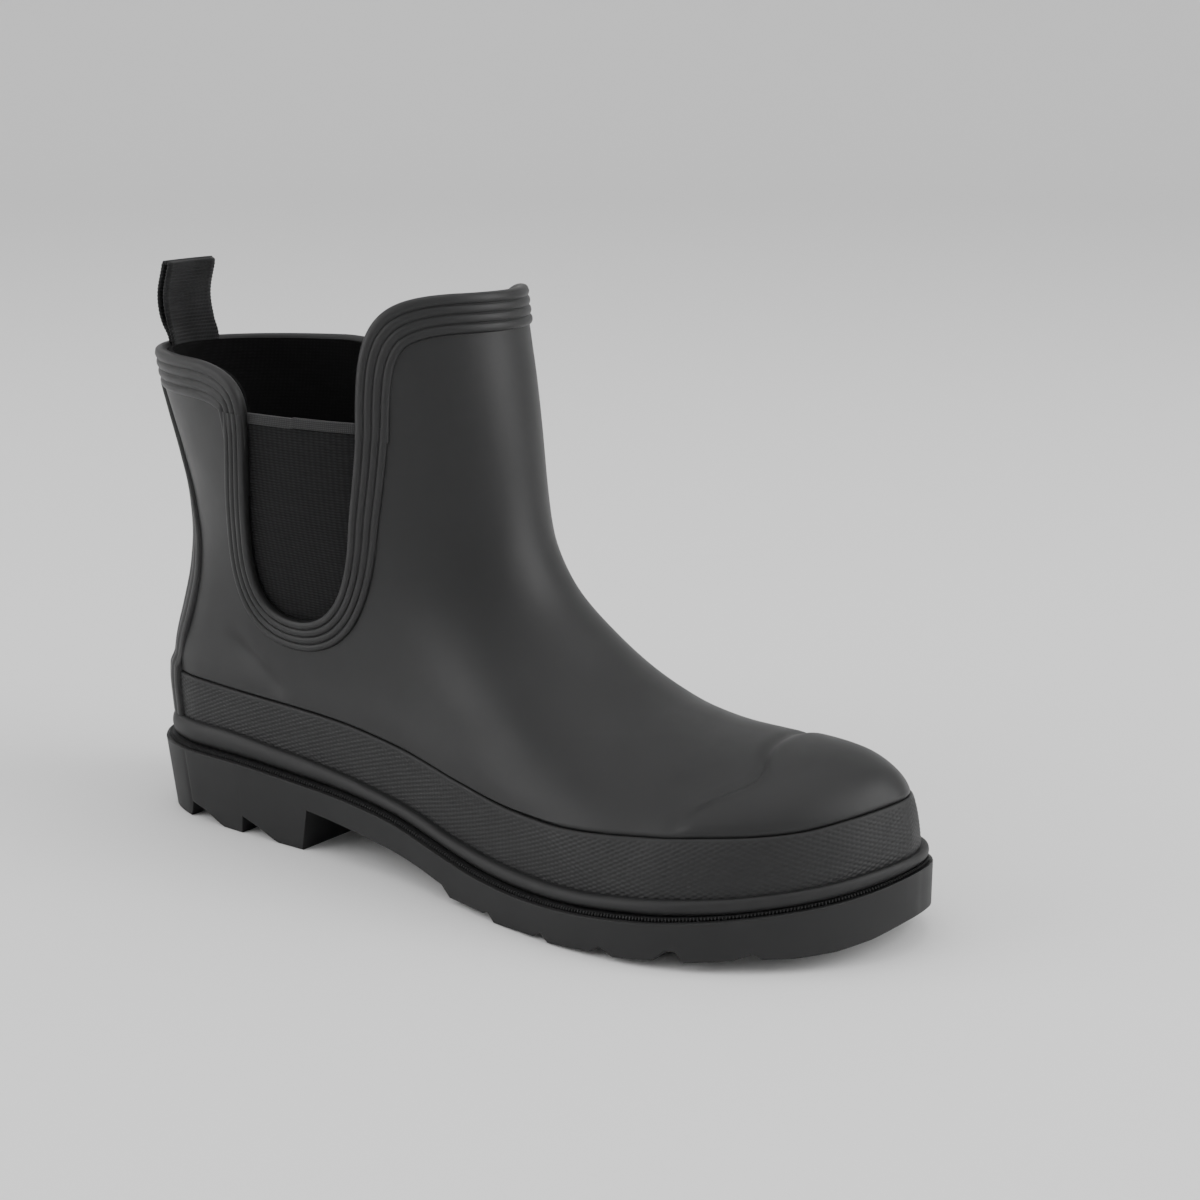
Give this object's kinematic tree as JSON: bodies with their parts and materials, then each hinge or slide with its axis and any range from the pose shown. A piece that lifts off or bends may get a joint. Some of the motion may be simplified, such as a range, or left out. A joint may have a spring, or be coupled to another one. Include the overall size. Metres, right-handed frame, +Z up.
{
  "type": "ankle rain boot",
  "caption": "Pull-on ankle rain boot with elastic side gores, ribbed rubber rim, heel pull loop, foxing band and lugged heel sole, for the right foot.",
  "frame": {"origin": "bottom centre of the boot's bounding box, on the ground", "axes": "+Z up, +Y from heel to toe along the longest side, +X towards the outer side of the right foot"},
  "size_m": [0.106, 0.2886, 0.186],
  "materials": {
    "upper_rubber": "satin matte black vulcanised rubber",
    "foxing_rubber": "matte black rubber with a fine moulded knurl",
    "sole_rubber": "matte black moulded rubber",
    "elastic": "black ribbed elastic knit",
    "elastic_binding": "folded black tape",
    "knit_lining": "black jersey knit",
    "webbing": "black grosgrain webbing",
    "foam": "black fabric-topped foam",
    "fibre_board": "brown fibre board",
    "shank_steel": "rolled spring steel"
  },
  "bodies": {
    "boot": {"outsole": "sole_rubber", "heel_core": "foam", "shank": "shank_steel", "insole_board": "fibre_board", "welt_strip": "sole_rubber", "welt_bead": "upper_rubber", "foxing_band": "foxing_rubber", "upper_shell": "upper_rubber", "back_strip": "upper_rubber", "toe_puff": "fibre_board", "heel_counter": "fibre_board", "lining": "knit_lining", "rear_collar_trim": "upper_rubber", "front_collar_trim": "upper_rubber", "outer_gore_trim": "upper_rubber", "outer_gore": "elastic", "outer_gore_binding": "elastic_binding", "inner_gore_trim": "upper_rubber", "inner_gore": "elastic", "inner_gore_binding": "elastic_binding", "pull_loop_anchor": "webbing"},
    "footbed": {"footbed": "foam"},
    "pull_loop": {"pull_loop": "webbing"}
  },
  "joints": [
    {"name": "pull_loop_swing", "type": "hinge", "parent": "boot", "child": "pull_loop", "pos_m": [-0.0013, -0.1401, 0.1604], "axis": [1, 0, 0], "range_deg": [-60, 70], "stiffness_Nm_per_rad": 0.004},
    {"name": "footbed_lift", "type": "hinge", "parent": "boot", "child": "footbed", "pos_m": [-0.0013, 0.1298, 0.022], "axis": [-1, 0, 0], "range_deg": [0, 9]}
  ]
}
